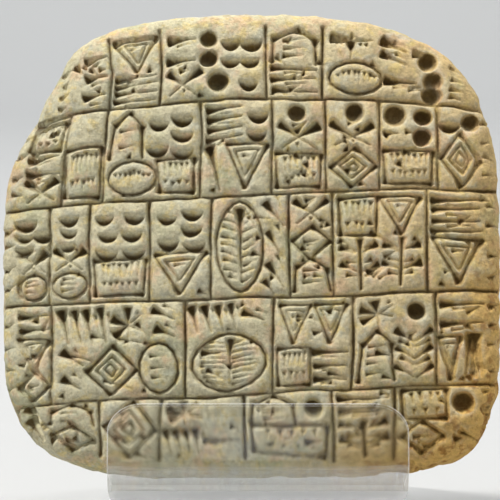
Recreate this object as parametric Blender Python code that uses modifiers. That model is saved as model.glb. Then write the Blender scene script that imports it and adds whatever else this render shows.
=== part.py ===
# A hand-formed clay tablet, ruled into rows of cases full of stylus marks, standing in a bent clear cradle.
# Metres, +Z up. The face with the marks looks towards -Y and leans back.
# The origin is under the middle of the whole, on the table.
import math
import random

import bmesh
import bpy
from mathutils import Matrix, Vector

# The tablet: a flat-faced pillow of clay with a rounder back
TABLET_WIDTH = 0.085
TABLET_HEIGHT = 0.0795
FACE_RISE = 0.008
BACK_RISE = 0.012
FACE_SQUARENESS = 4.0
BACK_SQUARENESS = 2.4
CORNER_SQUARENESS = {"upper left": 3.1, "upper right": 3.1, "lower left": 4.7, "lower right": 5.6}
# The left side draws in above the middle: by how much of the half width, and how high up it does so most
SHOULDER_DENT = 0.10
SHOULDER_POWER = 1.7
FACETS_ACROSS = 12
FACETS_UP = 10
FACETS_THROUGH = 6

# The stylus marks: half widths of the strokes, the presses of the round end, and how they are laid out
RULE_HALF_WIDTH = 0.00050
LINE_HALF_WIDTH = 0.00048
WEDGE_HALF_WIDTH = 0.00078
STYLUS_RADIUS = 0.00180
PIT_DEPTH = 0.0014
MOON_TILT = math.radians(44)
STYLUS_TAPER = 0.08
AXIS_ABOVE_FACE = 0.00007
STYLUS_SIDES = 9
MARK_EDGE = 0.945
RULE_EDGE = 0.985
RULE_STEPS = 11
CASE_MARGIN = 0.05
MARK_SEED = 26

# The cradle: one clear sheet bent into a lip, a ledge, a back rest, a rear leg and a foot
SHEET = 0.003
STAND_WIDTH = 0.0505
STAND_OFFSET = 0.001
BEND_INSIDE = 0.002
LEAN = math.radians(16)
LIP_HEIGHT = 0.0112
SHOULDER_WIDTH = 0.0058
SHOULDER_HEIGHT = 0.0050
REST_LENGTH = 0.048
FOOT_LENGTH = 0.062
FOOT_AHEAD_OF_LIP = 0.0025
FOOT_GAP = 0.0008
SEAT_GAP = 0.0003
BEND_STEPS = 6
SHOULDER_STEPS = 5

SMALLEST_EDGE = 0.000008
CLAY = (0.36, 0.30, 0.19, 1.0)
ACRYLIC = (0.86, 0.90, 0.92, 1.0)

# The rules across the face: heights at the left edge, the middle and the right edge,
# as shares of half the height
RULES = (
    (0.507, 0.606, 0.567),
    (0.125, 0.191, 0.220),
    (-0.287, -0.258, -0.212),
    (-0.722, -0.671, -0.612),
)
# The lines between the cases of each row, as shares of half the width
CASE_LINES = (
    (-0.597, -0.383, 0.060, 0.286),
    (-0.766, -0.601, -0.210, 0.081, 0.298, 0.512, 0.746),
    (-0.810, -0.649, -0.407, -0.161, 0.149, 0.323, 0.702),
    (-0.802, -0.262, 0.085, 0.399, 0.734),
    (-0.605, -0.363, -0.028, 0.323, 0.565),
)
# How far out the outer cases of each row reach, as shares of half the width
ROW_EDGES = (0.80, 0.93, 0.945, 0.945, 0.93)
# What stands in each case: lines of made-up signs, top line first, with "/" between the lines
CASES = (
    ("gap bars3", "tri / bars4", "bars2 pits2 moons2 moons2 / cross pits1 moons1",
     "arch3 / bars3", "tee wedges2 pits1 / lens bars1 pits2"),
    ("comb2 / bars2 / cross", "gap / comb4", "arch2 moons2 moons3 / lens comb3",
     "bars4 moons2 / slash tri", "pits1 / cross / comb4", "pits1 / cross / nest",
     "pits1 pits1 / gap pits1 / comb5", "moons1 pits1 / nest"),
    ("moons3 moons1 / cross / ring", "moons3 / cross / ring", "moons3 moons3 / comb5",
     "moons2 moons3 / tri", "leaf wedges3", "cross / lozenge / arch2", "comb3 tri / sprig sprig",
     "bars4 / tri"),
    ("bars2 / tri / lozenge", "hatch4 star wedges2 / wedges2 nest ring", "hatch4 wedges1 / leaf", "tri tri / comb3 bars3",
     "star pits1 / arch4 herring", "bars2 / tri fan"),
    ("slash arch2 / slash lozenge", "nest", "star gap / hatch4 bars1", "arch3 pits1 / comb3", "bars2 / sprig",
     "comb2 pits1 / lozenge gap"),
)
# How much height and width each sign asks for within its case
SIGN_SIZES = {
    "gap": (1.0, 1.0), "bars": (1.6, 1.6), "wedges": (1.2, 1.0), "slash": (2.0, 0.8), "tee": (1.6, 1.4),
    "cross": (1.4, 1.4), "star": (1.6, 1.2), "fan": (1.8, 1.6), "hatch": (1.6, 1.6), "lozenge": (1.6, 1.4),
    "nest": (2.2, 1.8), "tri": (2.0, 1.7), "lens": (1.4, 2.2), "leaf": (3.0, 2.4), "comb": (1.7, 1.6),
    "arch": (1.7, 1.6),
    "ring": (1.5, 1.5), "herring": (3.0, 1.6), "sprig": (2.4, 1.2), "moons": (0.75, 1.0), "pits": (1.0, 1.0),
}


def corner_squareness(across, up):
    """How square the outline is in the quarter that holds this point."""
    return CORNER_SQUARENESS[("upper " if up >= 0 else "lower ") + ("right" if across >= 0 else "left")]


def reach(across, up):
    """0 in the middle of the face and 1 on its outline, for a point in shares of the half sizes."""
    power = corner_squareness(across, up)
    return (abs(across) ** power + abs(up) ** power) ** (1 / power)


def dented(across, up):
    """Draws a point in where the left side of the outline slopes in above the middle."""
    if across >= 0 or up <= 0:
        return across
    how_far = min(1.0, reach(across, up)) ** 3
    return across * (1 - SHOULDER_DENT * how_far * math.sin(math.pi * min(1.0, up) ** SHOULDER_POWER) ** 2)


def outline_height(across, side):
    """Height of the outline above or below the middle at one place across, in shares."""
    power = corner_squareness(across, side)
    return side * max(0.0, 1 - abs(across) ** power) ** (1 / power)


def face_point(across, up):
    """A point on the face that carries the marks, as the tablet lies on its back."""
    rise = FACE_RISE * max(0.0, 1 - reach(across, up) ** FACE_SQUARENESS) ** (1 / FACE_SQUARENESS)
    return Vector((dented(across, up) * TABLET_WIDTH / 2, up * TABLET_HEIGHT / 2, rise))


def rule_height(number, across):
    """Height of a row's upper or lower bound: the outline at the top and bottom, a ruled line between."""
    if number == 0:
        return outline_height(across * MARK_EDGE, 1) * MARK_EDGE
    if number > len(RULES):
        return outline_height(across * MARK_EDGE, -1) * MARK_EDGE
    left, middle, right = RULES[number - 1]
    return middle + (right - left) / 2 * across + ((right + left) / 2 - middle) * across ** 2


def spread(count, low=0.0, high=1.0):
    """Evenly spaced places between two bounds, none of them on a bound."""
    return [low + (high - low) * (step + 0.5) / count for step in range(count)]


def wedge(start, end, size=1.0):
    return {"kind": "wedge", "points": [start, end], "size": size}


def line(*points, closed=False):
    return {"kind": "line", "points": list(points), "closed": closed, "size": 1.0}


def press(kind, place, size=1.0):
    return {"kind": kind, "points": [place], "size": size}


def oval(width, height, count, point_power):
    """Places round an oval that comes to a point above and below as the power grows."""
    turns = [math.tau * step / count for step in range(count)]
    return [(0.5 + width / 2 * math.copysign(abs(math.sin(turn)) ** point_power, math.sin(turn)),
             0.5 + height / 2 * math.cos(turn)) for turn in turns]


def sign_marks(name, count, rng):
    """The marks of one sign in a box one unit wide and high. None of them is a letter or a known sign."""
    if name == "bars":
        return [wedge((0.04, up), (0.96, up + rng.uniform(-0.04, 0.04))) for up in spread(count)]
    if name == "wedges":
        return [wedge((0.08 + rng.uniform(0, 0.2), up + 0.14), (0.9, up - 0.14)) for up in spread(count)]
    if name == "slash":
        return [wedge((0.2, 0.98), (0.8, 0.02), 1.15)]
    if name == "tee":
        return [wedge((0.04, 0.8), (0.96, 0.86)), wedge((0.5, 0.72), (0.46, 0.04))]
    if name == "cross":
        return [wedge((0.08, 0.95), (0.88, 0.05)), wedge((0.92, 0.93), (0.12, 0.08))]
    if name == "star":
        return [wedge((0.5 - 0.45 * math.sin(turn), 0.5 + 0.45 * math.cos(turn)),
                      (0.5 + 0.45 * math.sin(turn), 0.5 - 0.45 * math.cos(turn)))
                for turn in (0.1, 1.15, 2.2)]
    if name == "fan":
        return [wedge((0.38 + 0.24 * place, 0.97), (place, 0.03)) for place in spread(4)]
    if name == "hatch":
        return [wedge((place - 0.08, 0.96), (place + 0.08, 0.04)) for place in spread(count)]
    if name in ("lozenge", "nest"):
        return [line((0.5, 1.0), (0.98, 0.5), (0.5, 0.0), (0.02, 0.5), closed=True)]
    if name == "lens":
        return [line(*[(up, across) for across, up in oval(0.9, 1.0, 7, 1.0)], closed=True)]
    if name == "leaf":
        return [line(*oval(0.94, 1.0, 8, 1.2), closed=True), wedge((0.5, 0.9), (0.5, 0.1))]
    if name == "ring":
        return [line(*oval(0.96, 0.96, 7, 1.0), closed=True)]
    if name == "comb":
        return [line((0.03, 0.96), (0.97, 0.96), (0.94, 0.04), (0.06, 0.04), closed=True)]
    if name == "arch":
        return [line((0.05, 0.02), (0.1, 0.7), (0.5, 0.97), (0.9, 0.7), (0.95, 0.02))]
    if name == "tri":
        return [line((0.03, 0.94), (0.97, 0.94), (0.5, 0.03), closed=True)]
    if name == "herring":
        return [wedge((0.5 + side * 0.48, up + 0.12), (0.5, up - 0.12), 0.9)
                for up in spread(3) for side in (-1, 1)]
    if name == "sprig":
        return [line((0.5, 0.95), (0.5, 0.05))] + [
            wedge((0.5 + side * 0.44, up + 0.12), (0.5 + side * 0.06, up - 0.04), 0.9)
            for up in spread(2, 0.2, 0.9) for side in (-1, 1)]
    if name == "moons":
        return [press("moon", (0.5 + rng.uniform(-0.08, 0.08), up)) for up in spread(count)]
    if name == "pits":
        return [press("pit", (0.5 + rng.uniform(-0.05, 0.05), up)) for up in spread(count)]
    return []


def split_word(word):
    """A sign's name and how many marks it has."""
    digits = word.lstrip("abcdefghijklmnopqrstuvwxyz")
    return word[:len(word) - len(digits)], int(digits or 1)


def sign_size(word):
    """The height and width a sign asks for. A column of presses is as high as it has presses."""
    name, count = split_word(word)
    height, width = SIGN_SIZES[name]
    return (height * count if name in ("moons", "pits") else height), width


def case_marks(row, left, right, text, rng):
    """The marks of one case, with their places as shares of the tablet's half sizes."""
    lines = [part.split() for part in text.split("/")]
    heights = [max(sign_size(word)[0] for word in words) for words in lines]
    marks = []
    top = 1.0
    for words, height in zip(lines, heights):
        bottom = top - height / sum(heights)
        widths = [sign_size(word)[1] for word in words]
        start = 0.0
        for word, width in zip(words, widths):
            name, count = split_word(word)
            end = start + width / sum(widths)
            for mark in sign_marks(name, count, rng):
                placed = []
                for across, up in mark["points"]:
                    share = CASE_MARGIN + (1 - 2 * CASE_MARGIN) * (start + (end - start) * across)
                    rise = CASE_MARGIN + (1 - 2 * CASE_MARGIN) * (bottom + (top - bottom) * up)
                    place = left + (right - left) * share
                    low, high = rule_height(row + 1, place), rule_height(row, place)
                    placed.append((place, low + (high - low) * rise))
                marks.append(dict(mark, points=placed))
            start = end
        top = bottom
    return marks


def all_marks():
    """Every case's marks, and the lines between the cases."""
    rng = random.Random(MARK_SEED)
    marks = []
    for row, (edge, places, texts) in enumerate(zip(ROW_EDGES, CASE_LINES, CASES)):
        bounds = [-edge, *places, edge]
        for left, right, text in zip(bounds, bounds[1:], texts):
            marks += case_marks(row, left, right, text, rng)
        for place in places:
            low, high = rule_height(row + 1, place), rule_height(row, place)
            marks.append(line((place, high), (place, (low + high) / 2), (place, low)))
    return marks


def mesh_object(name, bm, collection):
    """Turns a bmesh into a named object in a collection."""
    mesh = bpy.data.meshes.new(name)
    bm.to_mesh(mesh)
    bm.free()
    made = bpy.data.objects.new(name, mesh)
    collection.objects.link(made)
    return made


def prism_between(start, end, start_radius, end_radius, sides, squash=1.0):
    """A cone or prism from one point to another, its first corner turned to face out of the clay."""
    along = (end - start).normalized()
    across = along.cross(Vector((0, 0, 1))).normalized()
    outward = across.cross(along)
    turn = Matrix((across, outward * squash, along)).transposed().to_4x4()
    bm = bmesh.new()
    bmesh.ops.create_cone(bm, cap_ends=True, segments=sides, radius1=start_radius, radius2=end_radius,
                          depth=(end - start).length,
                          matrix=Matrix.Translation((start + end) / 2) @ turn)
    bmesh.ops.remove_doubles(bm, verts=bm.verts, dist=1e-6)
    bmesh.ops.recalc_face_normals(bm, faces=bm.faces)
    return bm


def wedge_cutter(mark, collection):
    """A wedge is deep and wide at its head and runs out to nothing at its tail."""
    head, tail = (face_point(*place) + Vector((0, 0, AXIS_ABOVE_FACE)) for place in mark["points"])
    radius = WEDGE_HALF_WIDTH * mark["size"]
    return mesh_object("wedge_cut", prism_between(head, tail, radius, 0.0, 4, 1.25), collection)


def press_cutter(mark, collection):
    """The round end of a stylus: pressed straight in for a pit, leaning for a half moon."""
    place = face_point(*mark["points"][0])
    radius = STYLUS_RADIUS * mark["size"]
    tilt = MOON_TILT if mark["kind"] == "moon" else 0.0
    sink = 0.0 if mark["kind"] == "moon" else PIT_DEPTH
    length = radius * 4
    bm = bmesh.new()
    bmesh.ops.create_cone(bm, cap_ends=True, segments=STYLUS_SIDES, radius1=radius,
                          radius2=radius + length * STYLUS_TAPER, depth=length,
                          matrix=Matrix.Translation(place - Vector((0, 0, sink)))
                          @ Matrix.Rotation(tilt, 4, "X") @ Matrix.Translation((0, 0, length / 2))
                          @ Matrix.Rotation(0.1, 4, "Z"))
    return mesh_object("press_cut", bm, collection)


def line_cutter(name, points, half_width, closed, collection):
    """A square wire laid corner down along the face, which leaves a V groove."""
    curve = bpy.data.curves.new(name, "CURVE")
    curve.dimensions = "3D"
    curve.twist_mode = "Z_UP"
    curve.bevel_depth = half_width
    curve.bevel_resolution = 0
    curve.use_fill_caps = True
    spline = curve.splines.new("POLY")
    spline.points.add(len(points) - 1)
    for point, place in zip(spline.points, points):
        point.co = (place.x, place.y, place.z + AXIS_ABOVE_FACE, 1.0)
    spline.use_cyclic_u = closed
    drawn = bpy.data.objects.new(name + "_path", curve)
    collection.objects.link(drawn)
    bm = bmesh.new()
    bm.from_mesh(bpy.data.meshes.new_from_object(drawn.evaluated_get(bpy.context.evaluated_depsgraph_get())))
    bpy.data.objects.remove(drawn)
    bmesh.ops.remove_doubles(bm, verts=bm.verts, dist=1e-6)
    bmesh.ops.recalc_face_normals(bm, faces=bm.faces)
    return mesh_object(name, bm, collection)


def rule_points(number):
    """Places along a ruled line, closer together where the face rounds away at both ends."""
    turns = [math.pi * (step / RULE_STEPS - 0.5) for step in range(RULE_STEPS + 1)]
    places = [RULE_EDGE * math.sin(turn) for turn in turns]
    return [face_point(place, rule_height(number, place)) for place in places]


def cut(body, cutters, name):
    """Takes a collection of cutters away from a body."""
    boolean = body.modifiers.new(name, "BOOLEAN")
    boolean.operation = "DIFFERENCE"
    boolean.solver = "EXACT"
    boolean.operand_type = "COLLECTION"
    boolean.collection = cutters


def apply_modifiers(made):
    """Bakes the modifiers of an object into its mesh, as triangles.

    Edges too short to see are closed up, as far as the surface stays whole.
    """
    baked = bpy.data.meshes.new_from_object(made.evaluated_get(bpy.context.evaluated_depsgraph_get()))
    made.modifiers.clear()
    whole = False
    shortest = SMALLEST_EDGE
    while not whole and shortest > SMALLEST_EDGE / 100:
        bm = bmesh.new()
        bm.from_mesh(baked)
        bmesh.ops.triangulate(bm, faces=bm.faces)
        bmesh.ops.dissolve_degenerate(bm, edges=bm.edges, dist=shortest)
        whole = all(len(edge.link_faces) == 2 for edge in bm.edges)
        bm.to_mesh(made.data)
        bm.free()
        shortest /= 2
    return made


def pillow(collection):
    """The plain tablet lying on its back: a divided block drawn in to the tablet's rounded form."""
    halves = (TABLET_WIDTH / 2, TABLET_HEIGHT / 2)
    bm = bmesh.new()
    bmesh.ops.create_cube(bm, size=2.0)
    for axis, count in enumerate((FACETS_ACROSS, FACETS_UP, FACETS_THROUGH)):
        for step in range(1, count):
            place, normal = Vector((0, 0, 0)), Vector((0, 0, 0))
            place[axis] = math.sin(math.pi / 2 * (2 * step / count - 1) * 0.8) / math.sin(math.pi / 2 * 0.8)
            normal[axis] = 1
            bmesh.ops.bisect_plane(bm, geom=bm.verts[:] + bm.edges[:] + bm.faces[:], dist=1e-6,
                                   plane_co=place, plane_no=normal)
    for vert in bm.verts:
        across, up, through = vert.co
        power = FACE_SQUARENESS if through > 0 else BACK_SQUARENESS
        shrink = (reach(across, up) ** power + abs(through) ** power) ** (-1 / power)
        rise = FACE_RISE if through > 0 else BACK_RISE
        across, up = across * shrink, up * shrink
        vert.co = (dented(across, up) * halves[0], up * halves[1], through * shrink * rise)
    bmesh.ops.triangulate(bm, faces=bm.faces)
    bmesh.ops.recalc_face_normals(bm, faces=bm.faces)
    return mesh_object("tablet", bm, collection)


def rounded_path(corners, radius, steps):
    """Points along a bent line whose corners are all rounded to one radius."""
    points = [corners[0]]
    for before, corner, after in zip(corners, corners[1:], corners[2:]):
        back, ahead = (before - corner).normalized(), (after - corner).normalized()
        half_angle = back.angle(ahead) / 2
        centre = corner + (back + ahead).normalized() * (radius / math.sin(half_angle))
        first = corner + back * (radius / math.tan(half_angle)) - centre
        last = corner + ahead * (radius / math.tan(half_angle)) - centre
        sweep = first.angle(last)
        for step in range(steps + 1):
            share = step / steps
            points.append(centre + (first * math.sin((1 - share) * sweep)
                                    + last * math.sin(share * sweep)) / math.sin(sweep))
    return points + [corners[-1]]


def shouldered(points):
    """Stations along the sheet with the half width there, drawn in at both ends to round the corners."""
    ends = []
    for end, inner in ((points[0], points[1]), (points[-1], points[-2])):
        inward = (inner - end).normalized()
        stations = []
        for step in range(SHOULDER_STEPS + 1):
            turn = math.pi / 2 * step / SHOULDER_STEPS
            stations.append((end + inward * SHOULDER_HEIGHT * (1 - math.cos(turn)),
                             STAND_WIDTH / 2 - SHOULDER_WIDTH * (1 - math.sin(turn))))
        ends.append(stations)
    return ends[0] + [(point, STAND_WIDTH / 2) for point in points[1:-1]] + ends[1][::-1]


def tablet_to_world(centre):
    """Stands the tablet up from its back, leaning it back, with its middle at a point."""
    return Matrix.Translation(centre) @ Matrix.Rotation(math.pi / 2 - LEAN, 4, "X")


def cradle_layout():
    """The middle line of the bent sheet in the upright plane, and where the tablet's middle comes."""
    lip, rest = FACE_RISE + SEAT_GAP + SHEET / 2, -(BACK_RISE + SEAT_GAP + SHEET / 2)
    ledge = -(TABLET_HEIGHT / 2 + SEAT_GAP + SHEET / 2)
    bend = BEND_INSIDE + SHEET / 2
    outer = BEND_INSIDE + SHEET
    turn = tablet_to_world(Vector((0, 0, 0)))
    seat = [turn @ Vector((0, up, out)) for out, up in
            ((lip, ledge + SHEET / 2 + LIP_HEIGHT), (lip, ledge), (rest, ledge), (rest, ledge + REST_LENGTH))]
    lowest = (turn @ Vector((0, ledge + bend, rest + bend))).z - outer
    front = (turn @ Vector((0, ledge + bend, lip - bend))).y - outer
    shift = Vector((0, FOOT_AHEAD_OF_LIP - FOOT_LENGTH / 2 - front, SHEET + FOOT_GAP - lowest))
    seat = [point + shift for point in seat]
    heel = Vector((0, FOOT_LENGTH / 2 - outer, outer))
    slope = math.atan2(heel.y - seat[3].y, seat[3].z - heel.z)
    beyond = bend / math.cos(slope) + (heel.z - SHEET / 2) * math.tan(slope)
    heel_corner = Vector((0, heel.y + beyond, SHEET / 2))
    toe = Vector((0, -FOOT_LENGTH / 2, SHEET / 2))
    return rounded_path(seat + [heel_corner, toe], bend, BEND_STEPS), shift


def cradle(collection, path):
    """One clear sheet bent along the path: a ladder of faces given its thickness evenly on both sides."""
    stations = shouldered(path)
    bm = bmesh.new()
    bmesh.ops.create_grid(bm, x_segments=1, y_segments=len(stations) - 1, size=1.0)
    for vert in bm.verts:
        point, half_width = stations[round((vert.co.y + 1) / 2 * (len(stations) - 1))]
        vert.co = (STAND_OFFSET + half_width * math.copysign(1, vert.co.x), point.y, point.z)
    made = mesh_object("stand", bm, collection)
    solidify = made.modifiers.new("sheet", "SOLIDIFY")
    solidify.thickness = SHEET
    solidify.offset = 0.0
    solidify.use_even_offset = True
    return apply_modifiers(made)


def give_material(made, name, color, roughness, alpha=1.0):
    """One plain Principled material per piece."""
    material = bpy.data.materials.new(name)
    material.use_nodes = True
    shader = material.node_tree.nodes["Principled BSDF"]
    shader.inputs["Base Color"].default_value = color
    shader.inputs["Roughness"].default_value = roughness
    shader.inputs["Alpha"].default_value = alpha
    made.data.materials.clear()
    made.data.materials.append(material)


def build():
    for stale in list(bpy.data.objects):
        bpy.data.objects.remove(stale)
    collection = bpy.data.collections.new("cuneiform_tablet")
    cutters = bpy.data.collections.new("cutters")
    bpy.context.scene.collection.children.link(collection)
    bpy.context.scene.collection.children.link(cutters)

    tablet = pillow(collection)
    for mark in all_marks():
        if mark["kind"] == "wedge":
            wedge_cutter(mark, cutters)
        elif mark["kind"] == "line":
            points = [face_point(*place) for place in mark["points"]]
            line_cutter("line_cut", points, LINE_HALF_WIDTH, mark["closed"], cutters)
        else:
            press_cutter(mark, cutters)
    for number in range(1, len(RULES) + 1):
        line_cutter("rule_cut", rule_points(number), RULE_HALF_WIDTH, False, cutters)
    for cutter in cutters.objects:
        cutter.hide_render = True
        cutter.display_type = "WIRE"
    cut(tablet, cutters, "marks")
    apply_modifiers(tablet)

    path, centre = cradle_layout()
    tablet.data.transform(tablet_to_world(centre))
    stand = cradle(collection, path)
    depths = [vert.co.y for made in (tablet, stand) for vert in made.data.vertices]
    for made in (tablet, stand):
        made.data.transform(Matrix.Translation((0, -(min(depths) + max(depths)) / 2, 0)))
    give_material(tablet, "clay", CLAY, 0.85)
    give_material(stand, "clear_acrylic", ACRYLIC, 0.05, 0.35)
    print("triangles", {made.name: sum(len(face.vertices) - 2 for face in made.data.polygons)
                        for made in (tablet, stand)}, "cutters", len(cutters.objects))


build()
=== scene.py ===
# A clay tablet with ruled rows of stylus marks, standing in a bent clear cradle.
import math
import random

import bmesh
import bpy
import numpy as np
from mathutils import Matrix, Vector


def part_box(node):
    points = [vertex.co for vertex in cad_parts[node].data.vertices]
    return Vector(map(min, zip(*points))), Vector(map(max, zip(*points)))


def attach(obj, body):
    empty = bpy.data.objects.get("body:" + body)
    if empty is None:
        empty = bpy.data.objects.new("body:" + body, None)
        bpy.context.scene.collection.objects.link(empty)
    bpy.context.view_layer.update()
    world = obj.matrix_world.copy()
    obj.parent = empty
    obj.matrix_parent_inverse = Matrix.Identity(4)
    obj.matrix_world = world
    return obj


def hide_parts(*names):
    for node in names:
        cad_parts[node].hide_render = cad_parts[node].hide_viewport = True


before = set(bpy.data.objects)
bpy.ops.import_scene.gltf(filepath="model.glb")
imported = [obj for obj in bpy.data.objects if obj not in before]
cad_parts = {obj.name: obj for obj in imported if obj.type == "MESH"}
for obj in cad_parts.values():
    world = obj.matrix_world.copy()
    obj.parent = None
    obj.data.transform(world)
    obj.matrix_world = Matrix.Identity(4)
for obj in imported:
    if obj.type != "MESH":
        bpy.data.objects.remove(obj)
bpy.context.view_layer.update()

# The tablet's form and carving, as in the solids. Lengths are in metres, and places on the face are
# shares of its half width and half height
tablet = {
    "width": 0.085,
    "height": 0.0795,
    "shoulderDent": 0.10,
    "shoulderPower": 1.7,
    "faceRise": 0.008,
    "backRise": 0.012,
    "faceSquareness": 4.0,
    "backSquareness": 2.4,
    "corners": {"upper left": 3.1, "upper right": 3.1, "lower left": 4.7, "lower right": 5.6},
    "lean": math.radians(16),
    "markEdge": 0.945,
    "ruleEdge": 0.985,
    "caseMargin": 0.05,
    "markSeed": 26,
    "strays": 6,  # stray fine strokes in a case
    "rimStrokes": 4,  # strokes that run over the rim, at each end of each row
    "rimFrom": 0.0,
    "rimTo": 0.045,
    "rimSlip": 0.05,
    "rimSizes": (0.45, 0.75),
    "rules": (  # heights of the ruled lines at their left end, middle and right end
        (0.507, 0.606, 0.567),
        (0.125, 0.191, 0.220),
        (-0.287, -0.258, -0.212),
        (-0.722, -0.671, -0.612),
    ),
    "caseLines": (
        (-0.597, -0.383, 0.060, 0.286),
        (-0.766, -0.601, -0.210, 0.081, 0.298, 0.512, 0.746),
        (-0.810, -0.649, -0.407, -0.161, 0.149, 0.323, 0.702),
        (-0.802, -0.262, 0.085, 0.399, 0.734),
        (-0.605, -0.363, -0.028, 0.323, 0.565),
    ),
    "rowEdges": (0.80, 0.93, 0.945, 0.945, 0.93),
    "cases": (  # signs from left to right, slashes between the lines of a case
        ("gap bars3", "tri / bars4", "bars2 pits2 moons2 moons2 / cross pits1 moons1",
         "arch3 / bars3", "tee wedges2 pits1 / lens bars1 pits2"),
        ("comb2 / bars2 / cross", "gap / comb4", "arch2 moons2 moons3 / lens comb3",
         "bars4 moons2 / slash tri", "pits1 / cross / comb4", "pits1 / cross / nest",
         "pits1 pits1 / gap pits1 / comb5", "moons1 pits1 / nest"),
        ("moons3 moons1 / cross / ring", "moons3 / cross / ring", "moons3 moons3 / comb5",
         "moons2 moons3 / tri", "leaf wedges3", "cross / lozenge / arch2", "comb3 tri / sprig sprig",
         "bars4 / tri"),
        ("bars2 / tri / lozenge", "hatch4 star wedges2 / wedges2 nest ring", "hatch4 wedges1 / leaf",
         "tri tri / comb3 bars3", "star pits1 / arch4 herring", "bars2 / tri fan"),
        ("slash arch2 / slash lozenge", "nest", "star gap / hatch4 bars1", "arch3 pits1 / comb3",
         "bars2 / sprig", "comb2 pits1 / lozenge gap"),
    ),
    "signSizes": {  # height and width of each kind of sign beside the others in its case
        "gap": (1.0, 1.0), "bars": (1.6, 1.6), "wedges": (1.2, 1.0), "slash": (2.0, 0.8), "tee": (1.6, 1.4),
        "cross": (1.4, 1.4), "star": (1.6, 1.2), "fan": (1.8, 1.6), "hatch": (1.6, 1.6),
        "lozenge": (1.6, 1.4), "nest": (2.2, 1.8), "tri": (2.0, 1.7), "lens": (1.4, 2.2),
        "leaf": (3.0, 2.4), "comb": (1.7, 1.6), "arch": (1.7, 1.6), "ring": (1.5, 1.5),
        "herring": (3.0, 1.6), "sprig": (2.4, 1.2), "moons": (0.75, 1.0), "pits": (1.0, 1.0),
    },
}
# The grid the carving is worked out on, and the finished mesh
detail = {
    "rasterStep": 0.065,
    "frontCells": 600,
    "backCells": 200,
    "triangles": 188000,
    "ruleSteps": 60,
    "sectionSteps": 4000,
}


def cornerSquareness(across, up):
    corners = tablet["corners"]
    upper = np.where(across >= 0, corners["upper right"], corners["upper left"])
    lower = np.where(across >= 0, corners["lower right"], corners["lower left"])
    return np.where(up >= 0, upper, lower)


def reach(across, up):
    power = cornerSquareness(across, up)
    return (np.abs(across) ** power + np.abs(up) ** power) ** (1 / power)


# Draws points in where the left side of the outline slopes in above the middle
def dented(across, up):
    howFar = np.minimum(1.0, reach(across, up)) ** 3
    bulge = np.sin(math.pi * np.clip(up, 0, 1) ** tablet["shoulderPower"]) ** 2
    return across * (1 - tablet["shoulderDent"] * howFar * bulge * (across < 0))


def outlineHeight(across, side):
    power = float(cornerSquareness(across, side))
    return side * max(0.0, 1 - abs(across) ** power) ** (1 / power)


def ruleHeight(number, across):
    edge = tablet["markEdge"]
    if number == 0:
        return outlineHeight(across * edge, 1) * edge
    if number > len(tablet["rules"]):
        return outlineHeight(across * edge, -1) * edge
    left, middle, right = tablet["rules"][number - 1]
    return middle + (right - left) / 2 * across + ((right + left) / 2 - middle) * across ** 2


# A place in a row, whose lower ruled line is at 0 and the upper one at 1
def inRow(row, across, share):
    low, high = ruleHeight(row + 1, across), ruleHeight(row, across)
    return across, low + (high - low) * share


def spread(count, low=0.0, high=1.0):
    return [low + (high - low) * (step + 0.5) / count for step in range(count)]


def wedge(start, end, size=1.0):
    return {"kind": "wedge", "points": [start, end], "size": size}


def line(*points, closed=False):
    return {"kind": "line", "points": list(points), "closed": closed, "size": 1.0}


def press(kind, place, size=1.0):
    return {"kind": kind, "points": [place], "size": size}


def fine(*points, size=1.0):
    return {"kind": "fine", "points": list(points), "closed": False, "size": size}


def oval(width, height, count, pointPower):
    turns = [math.tau * step / count for step in range(count)]
    return [(0.5 + width / 2 * math.copysign(abs(math.sin(turn)) ** pointPower, math.sin(turn)),
             0.5 + height / 2 * math.cos(turn)) for turn in turns]


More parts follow.
